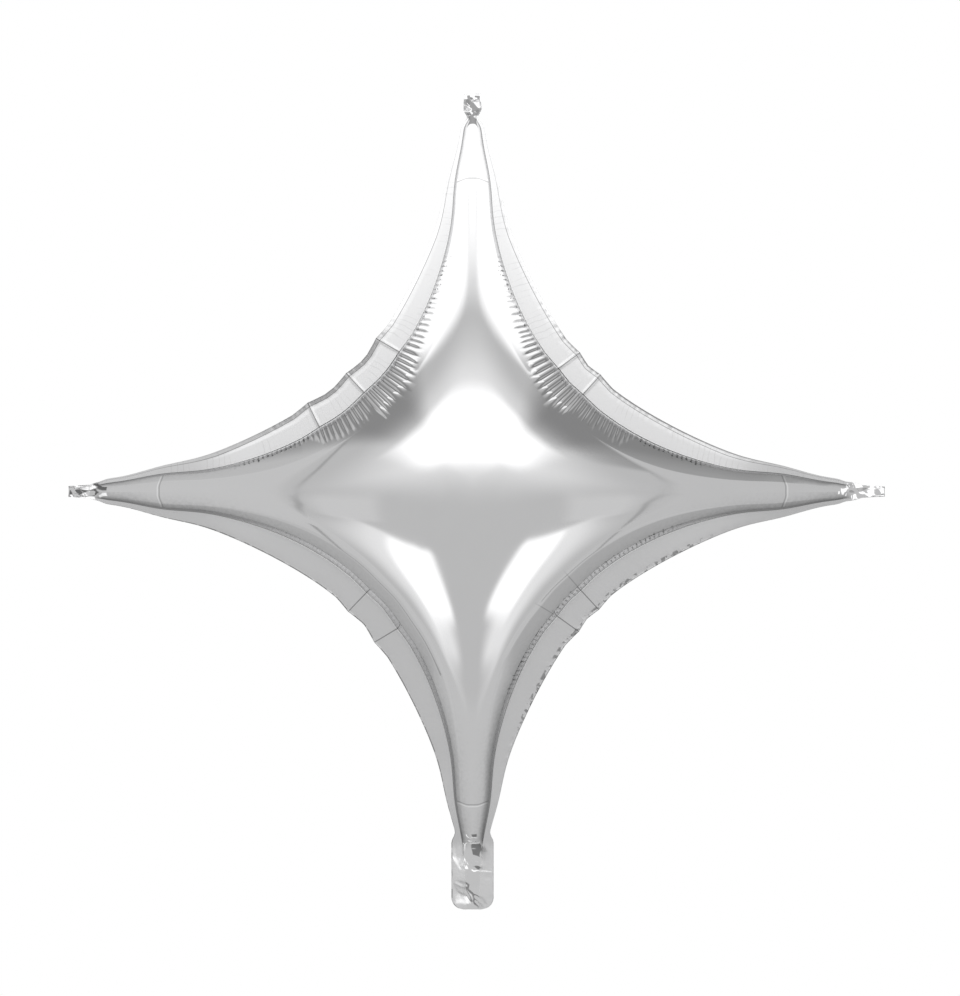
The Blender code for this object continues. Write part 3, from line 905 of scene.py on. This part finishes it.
# Far cards: distance, tone, the shares that fade at the sides, below and above, and the corners as
# azimuth and elevation seen from the star: lower left, lower right, upper right, upper left
FAR_CARDS = {
    "front_glow": (3.8, 0.96, (0.45, 0.22, 0.45), ((-46, -3), (46, -3), (36, 44), (-36, 44))),
    "softbox_foot": (3.5, 1.50, (0.22, 0.35, 0.001), ((-11, 3.5), (11, 3.5), (27, 15), (-27, 15))),
    "softbox_head": (3.5, 1.50, (0.24, 0.001, 0.70), ((-27, 15), (27, 15), (14, 27), (-14, 27))),
    "strip_left": (3.5, 1.40, (0.17, 0.28, 0.10), ((-48, -42), (-13, -34), (-10.5, -13), (-25, -17))),
    "strip_right": (3.5, 1.40, (0.18, 0.28, 0.10), ((6, -31), (37, -39), (27, -16.5), (13, -11.5))),
    "strip_halo_left": (3.65, 0.96, (0.35, 0.12, 0.10), ((-66, -44), (-13, -42), (-9, -13), (-35, -17))),
    "strip_halo_right": (3.65, 0.96, (0.35, 0.12, 0.10), ((8, -42), (62, -44), (36, -17), (10, -12))),
    "low_lobe_left": (3.9, 0.70, (0.25, 0.03, 0.50), ((-46, -26), (-20, -11), (-16, 4), (-40, 4))),
    "low_lobe_right": (3.9, 0.70, (0.25, 0.03, 0.50), ((20, -11), (46, -26), (40, 4), (16, 4))),
    "back_glow": (3.8, 0.96, (0.45, 0.22, 0.45), ((134, -3), (226, -3), (216, 44), (144, 44))),
    "back_softbox": (3.5, 1.50, (0.24, 0.30, 0.50), ((152, 3.5), (208, 3.5), (199, 26), (161, 26))),
    "back_strip_left": (3.5, 1.40, (0.17, 0.28, 0.10), ((132, -42), (167, -34), (169, -13), (155, -17))),
    "back_strip_right": (3.5, 1.40, (0.18, 0.28, 0.10),
                         ((186, -31), (217, -39), (207, -16.5), (193, -11.5))),
}
# Near cards round the star: the axis they face along, their place on it, tone, fading shares and
# the corners on the other two axes, in metres from the star's centre
NEAR_CARDS = {
    "crown_card_left": ("x", -0.075, 1.40, (0.15, 0.06, 0.05),
                        ((-0.070, 0.118), (0.35, 0.088), (0.35, 0.62), (-0.55, 0.62))),
    "crown_card_right": ("x", 0.075, 1.40, (0.15, 0.06, 0.05),
                         ((-0.070, 0.118), (0.35, 0.088), (0.35, 0.62), (-0.55, 0.62))),
    "crown_front": ("y", -0.15, 1.35, (0.12, 0.19, 0.05),
                    ((-0.27, 0.218), (0.27, 0.218), (0.27, 0.70), (-0.27, 0.70))),
    "crown_slip": ("y", -0.05, 1.30, (0.45, 0.20, 0.05),
                   ((-0.034, 0.172), (0.034, 0.172), (0.034, 0.42), (-0.034, 0.42))),
    "crown_lid": ("z", 0.60, 1.30, (0.10, 0.05, 0.05),
                  ((-0.08, -0.50), (0.08, -0.50), (0.08, 0.35), (-0.08, 0.35))),
    "shoulder_shade_left": ("z", 0.16, 0.30, (0.33, 0.46, 0.25),
                            ((-0.235, -0.52), (-0.10, -0.52), (-0.10, 0.30), (-0.235, 0.30))),
    "shoulder_shade_right": ("z", 0.16, 0.28, (0.33, 0.45, 0.25),
                             ((0.11, -0.56), (0.26, -0.56), (0.26, 0.30), (0.11, 0.30))),
    "arm_shade_right": ("z", 0.162, 0.40, (0.35, 0.40, 0.25),
                        ((0.20, -0.45), (0.34, -0.45), (0.34, 0.30), (0.20, 0.30))),
    "floor_shade_left": ("z", -0.16, 0.51, (0.15, 0.02, 0.30),
                         ((-0.33, -0.025), (-0.05, -0.025), (-0.05, 0.30), (-0.33, 0.30))),
    "floor_shade_right": ("z", -0.16, 0.48, (0.15, 0.02, 0.30),
                          ((0.05, -0.05), (0.33, -0.05), (0.33, 0.30), (0.05, 0.30))),
    "tail_shade_right": ("x", 0.07, 0.42, (0.25, 0.20, 0.20),
                         ((-0.05, -0.45), (0.25, -0.45), (0.25, -0.12), (-0.05, -0.12))),
    "west_shade": ("y", -0.10, 0.66, (0.04, 0.05, 0.10),
                   ((-0.80, -0.55), (-0.185, -0.55), (-0.185, 0.30), (-0.80, 0.30))),
    "east_shade": ("y", -0.10, 0.62, (0.04, 0.05, 0.10),
                   ((0.195, -0.55), (0.80, -0.55), (0.80, 0.30), (0.195, 0.30))),
    "tail_shade": ("y", -0.10, 0.64, (0.05, 0.03, 0.03),
                   ((-0.55, -0.95), (0.55, -0.95), (0.40, -0.205), (-0.40, -0.205))),
    # Small cards close in front of the tail and the tabs, which mirror little else
    "tail_bright_fold": ("y", -0.012, 1.50, (0.15, 0.15, 0.15),
                         ((-0.0095, -0.2800), (-0.0060, -0.2770), (-0.0150, -0.2630), (-0.0185, -0.2660))),
    "tail_bright_bend": ("y", -0.012, 1.40, (0.10, 0.25, 0.25),
                         ((-0.0050, -0.2790), (0.0150, -0.2825), (0.0150, -0.2795), (-0.0040, -0.2745))),
    "tail_dark_gap": ("y", -0.012, 0.22, (0.15, 0.15, 0.15),
                      ((-0.0010, -0.2710), (0.0100, -0.2710), (0.0085, -0.2600), (-0.0030, -0.2600))),
    "tail_dark_fold": ("y", -0.012, 0.25, (0.15, 0.30, 0.30),
                       ((-0.0130, -0.2915), (0.0090, -0.3080), (0.0110, -0.3045), (-0.0105, -0.2880))),
    "tail_bright_foot": ("y", -0.012, 1.30, (0.20, 0.25, 0.25),
                         ((-0.0120, -0.3080), (0.0010, -0.3080), (-0.0060, -0.2960), (-0.0130, -0.2950))),
    "top_tab_shade": ("y", -0.008, 0.44, (0.12, 0.10, 0.10),
                      ((-0.024, 0.2765), (0.024, 0.2765), (0.024, 0.3020), (-0.024, 0.3020))),
    "west_tab_dark": ("y", -0.010, 0.16, (0.10, 0.25, 0.10),
                      ((-0.300, 0.0005), (-0.2755, 0.0005), (-0.2755, 0.0120), (-0.300, 0.0120))),
    "west_tab_bright": ("y", -0.010, 1.50, (0.10, 0.10, 0.30),
                        ((-0.298, -0.0120), (-0.2755, -0.0120), (-0.2755, -0.0010), (-0.298, -0.0010))),
    "east_tab_bright": ("y", -0.010, 1.50, (0.15, 0.15, 0.15),
                        ((0.285, -0.0080), (0.306, -0.0080), (0.306, 0.0080), (0.282, 0.0080))),
    "east_tab_spot": ("y", -0.010, 1.50, (0.20, 0.20, 0.20),
                      ((0.2750, -0.0060), (0.2800, -0.0060), (0.2800, 0.0010), (0.2760, 0.0010))),
}
# The seams of the tent that the star mirrors, as thin dark cards: above and below it they run back
# from its front corners, as height, then places in x and y with the breadth at each
SEAM_TONE = 0.36
SEAM_SHARES = (0.001, 0.45, 0.45)
SEAMS = {
    "high_seam_left": (0.150, ((-0.120, 0.000, 0.004), (-0.310, -0.252, 0.006),
                               (-2.120, -2.440, 0.012))),
    "high_seam_right": (0.150, ((0.200, -0.100, 0.003), (0.300, -0.180, 0.007),
                                (2.180, -2.370, 0.012))),
    "low_seam_left": (-0.150, ((-0.045, -0.028, 0.003), (-0.188, -0.032, 0.004),
                               (-0.420, -0.360, 0.010), (-2.120, -2.440, 0.012))),
    "low_seam_right": (-0.150, ((0.125, -0.060, 0.003), (0.188, -0.058, 0.004),
                                (0.420, -0.360, 0.008), (2.180, -2.370, 0.012))),
}
CORNER_POSTS = {"corner_post_left": (-2.120, -2.440), "corner_post_right": (2.180, -2.370)}
POST_SHARES = (0.40, 0.001, 0.001)
POST_HALF_HEIGHT = 0.16
POST_HALF_BREADTH = 0.012
CARD_COLUMNS = 28
CARD_ROWS = 12

# What the camera sees round the star, and the lamp that gives its soft shadow
WHITE = (1.0, 1.0, 1.0, 1.0)
FLOOR_HEIGHT = -0.95
FLOOR_RADIUS = 5.0
FLOOR_COLOUR = (0.9, 0.9, 0.9, 1.0)
FLOOR_ROUGHNESS = 0.8
LAMP_PLACE = (-0.6, -0.9, 1.9)
LAMP_BREADTH = 1.2
LAMP_WATTS = 12.0
CAMERA_PLACE = (0.0055, -3.0, 0.2532)
CAMERA_LENS = 147.5
CAMERA_SENSOR = 36.0


def only_in_reflections(thing):
    """Hide a card or the tent from all but the film's mirror image of it."""
    thing.visible_camera = False
    thing.visible_diffuse = False
    thing.visible_shadow = False
    thing.visible_transmission = False
    thing.visible_volume_scatter = False


def make_card_fade():
    """The group that each card's finish uses: full within the card, nothing at its edges."""
    group = bpy.data.node_groups.new("card_fade", "ShaderNodeTree")
    for name in ("Side Share", "Foot Share", "Head Share"):
        group.interface.new_socket(name, in_out="INPUT", socket_type="NodeSocketFloat")
    group.interface.new_socket("Mask", in_out="OUTPUT", socket_type="NodeSocketFloat")
    shares = group.nodes.new("NodeGroupInput").outputs
    place = group.nodes.new("ShaderNodeUVMap")
    place.uv_map = "card"
    parts = group.nodes.new("ShaderNodeSeparateXYZ")
    link(group, place.outputs["UV"], parts.inputs["Vector"])
    across = parts.outputs["X"]
    up = parts.outputs["Y"]
    rises = []
    for value, share in ((across, "Side Share"), (maths(group, "SUBTRACT", 1.0, across), "Side Share"),
                         (up, "Foot Share"), (maths(group, "SUBTRACT", 1.0, up), "Head Share")):
        rise = group.nodes.new("ShaderNodeMapRange")
        rise.interpolation_type = "SMOOTHSTEP"
        link(group, shares[share], rise.inputs["From Max"])
        link(group, value, rise.inputs["Value"])
        rises.append(rise.outputs["Result"])
    mask = maths(group, "MULTIPLY", maths(group, "MULTIPLY", *rises[:2]),
                 maths(group, "MULTIPLY", *rises[2:]))
    link(group, mask, group.nodes.new("NodeGroupOutput").inputs["Mask"])


def card_finish(name, tone, edges):
    """A plain card of one tone, fading out towards its sides, its foot and its head."""
    material = bpy.data.materials.new(name)
    material.use_nodes = True
    tree = material.node_tree
    tree.nodes.clear()
    fader = tree.nodes.new("ShaderNodeGroup")
    fader.node_tree = bpy.data.node_groups["card_fade"]
    for share_name, share in zip(("Side Share", "Foot Share", "Head Share"), edges):
        fader.inputs[share_name].default_value = share
    glow = tree.nodes.new("ShaderNodeEmission")
    glow.inputs["Color"].default_value = WHITE
    glow.inputs["Strength"].default_value = tone
    clear = tree.nodes.new("ShaderNodeBsdfTransparent")
    mix = tree.nodes.new("ShaderNodeMixShader")
    output = tree.nodes.new("ShaderNodeOutputMaterial")
    link(tree, fader.outputs["Mask"], mix.inputs["Fac"])
    link(tree, clear.outputs[0], mix.inputs[1])
    link(tree, glow.outputs[0], mix.inputs[2])
    link(tree, mix.outputs[0], output.inputs["Surface"])
    return material


def direction(azimuth, elevation):
    """The unit vector towards an azimuth and elevation in degrees."""
    azimuth = math.radians(azimuth)
    elevation = math.radians(elevation)
    return Vector((math.sin(azimuth) * math.cos(elevation),
                   -math.cos(azimuth) * math.cos(elevation), math.sin(elevation)))


def hang_card(name, tone, edges, corners, place_of):
    """One card over its corners, each point put in space by place_of."""
    low_left, low_right, high_right, high_left = (np.array(corner, float) for corner in corners)
    mesh = bmesh.new()
    grid = []
    for u in np.linspace(0.0, 1.0, CARD_COLUMNS + 1):
        for v in np.linspace(0.0, 1.0, CARD_ROWS + 1):
            low = low_left + u * (low_right - low_left)
            high = high_left + u * (high_right - high_left)
            grid.append(mesh.verts.new(place_of(*(low + v * (high - low)))))
    layer = mesh.loops.layers.uv.new("card")
    for column in range(CARD_COLUMNS):
        for row in range(CARD_ROWS):
            steps = ((column, row), (column + 1, row), (column + 1, row + 1), (column, row + 1))
            face = mesh.faces.new([grid[c * (CARD_ROWS + 1) + r] for c, r in steps])
            for loop, (c, r) in zip(face.loops, steps):
                loop[layer].uv = (c / CARD_COLUMNS, r / CARD_ROWS)
    data = bpy.data.meshes.new(name)
    mesh.to_mesh(data)
    mesh.free()
    card = bpy.data.objects.new(name, data)
    bpy.context.scene.collection.objects.link(card)
    data.materials.append(card_finish(name, tone, edges))
    only_in_reflections(card)


def hang_seam(name, height, places):
    """Thin dark cards in a level plane, one for each length of a seam."""
    for step, ((x, y, breadth), (next_x, next_y, next_breadth)) in enumerate(zip(places, places[1:])):
        along = Vector((next_x - x, next_y - y, 0.0))
        aside = Vector((-along.y, along.x, 0.0)).normalized()
        start = STAR_CENTRE + Vector((x, y, height))
        corners = ((0.0, -breadth), (1.0, -next_breadth), (1.0, next_breadth), (0.0, breadth))
        hang_card("%s_%d" % (name, step + 1), SEAM_TONE, SEAM_SHARES, corners,
                  lambda place, off: start + along * place + aside * off)


def hang_post(name, x, y):
    """A thin dark upright card where two seams meet far in front."""
    foot = STAR_CENTRE + Vector((x, y, 0.0))
    aside = Vector((-y, x, 0.0)).normalized()
    corners = ((-POST_HALF_BREADTH, -POST_HALF_HEIGHT), (POST_HALF_BREADTH, -POST_HALF_HEIGHT),
               (POST_HALF_BREADTH, POST_HALF_HEIGHT), (-POST_HALF_BREADTH, POST_HALF_HEIGHT))
    hang_card(name, SEAM_TONE, POST_SHARES, corners,
              lambda off, height: foot + aside * off + Vector((0.0, 0.0, height)))


def hang_cards():
    """All that the film mirrors in front of the tent."""
    make_card_fade()
    for name, (distance, tone, edges, corners) in FAR_CARDS.items():
        hang_card(name, tone, edges, corners,
                  lambda azimuth, elevation: STAR_CENTRE + distance * direction(azimuth, elevation))
    planes = {
        "x": lambda offset, depth, height: Vector((offset, depth, height)),
        "y": lambda offset, aside, height: Vector((aside, offset, height)),
        "z": lambda offset, aside, depth: Vector((aside, depth, offset)),
    }
    for name, (axis, offset, tone, edges, corners) in NEAR_CARDS.items():
        hang_card(name, tone, edges, corners,
                  lambda first, second: STAR_CENTRE + planes[axis](offset, first, second))
    for name, (height, places) in SEAMS.items():
        hang_seam(name, height, places)
    for name, (x, y) in CORNER_POSTS.items():
        hang_post(name, x, y)


def raise_tent():
    """The grey tent round the star, which only the film mirrors."""
    bpy.ops.mesh.primitive_uv_sphere_add(segments=48, ring_count=24, radius=TENT_RADIUS,
                                         location=STAR_CENTRE)
    tent = bpy.context.active_object
    tent.name = "grey_tent"
    tent.data.name = "grey_tent"
    material = bpy.data.materials.new("grey_tent")
    material.use_nodes = True
    tree = material.node_tree
    tree.nodes.clear()
    glow = tree.nodes.new("ShaderNodeEmission")
    glow.inputs["Strength"].default_value = TENT_TONE
    output = tree.nodes.new("ShaderNodeOutputMaterial")
    link(tree, glow.outputs[0], output.inputs["Surface"])
    tent.data.materials.append(material)
    only_in_reflections(tent)


def lay_floor():
    """A plain pale floor below the star."""
    bpy.ops.mesh.primitive_circle_add(vertices=96, radius=FLOOR_RADIUS, fill_type="NGON",
                                      location=(0.0, 0.0, FLOOR_HEIGHT))
    floor = bpy.context.active_object
    floor.name = "floor"
    pale = bpy.data.materials.new("pale_floor")
    pale.use_nodes = True
    shader = pale.node_tree.nodes["Principled BSDF"]
    shader.inputs["Base Color"].default_value = FLOOR_COLOUR
    shader.inputs["Roughness"].default_value = FLOOR_ROUGHNESS
    floor.data.materials.append(pale)
    floor.visible_glossy = False


def light_studio():
    """A white surround and one soft lamp overhead."""
    world = bpy.data.worlds.new("white_studio")
    bpy.context.scene.world = world
    world.use_nodes = True
    world.node_tree.nodes["Background"].inputs["Color"].default_value = WHITE
    world.node_tree.nodes["Background"].inputs["Strength"].default_value = 1.0
    lamp = bpy.data.lights.new("overhead_softbox", "AREA")
    lamp.shape = "DISK"
    lamp.size = LAMP_BREADTH
    lamp.energy = LAMP_WATTS
    overhead = bpy.data.objects.new("overhead_softbox", lamp)
    overhead.location = LAMP_PLACE
    overhead.rotation_euler = (STAR_CENTRE - overhead.location).to_track_quat("-Z", "Y").to_euler()
    overhead.visible_glossy = False
    bpy.context.scene.collection.objects.link(overhead)


def aim_camera():
    """A level camera straight in front, as the photograph has it."""
    data = bpy.data.cameras.new("camera")
    data.lens = CAMERA_LENS
    data.sensor_width = CAMERA_SENSOR
    camera = bpy.data.objects.new("camera", data)
    camera.location = CAMERA_PLACE
    camera.rotation_euler = (math.pi / 2, 0.0, 0.0)
    bpy.context.scene.collection.objects.link(camera)
    bpy.context.scene.camera = camera


def main():
    bpy.context.scene.view_settings.view_transform = "Standard"
    film = make_film()
    film.data.materials.append(silver_foil())
    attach(film, "root")
    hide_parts(NODE)
    hang_cards()
    raise_tent()
    lay_floor()
    light_studio()
    aim_camera()


main()
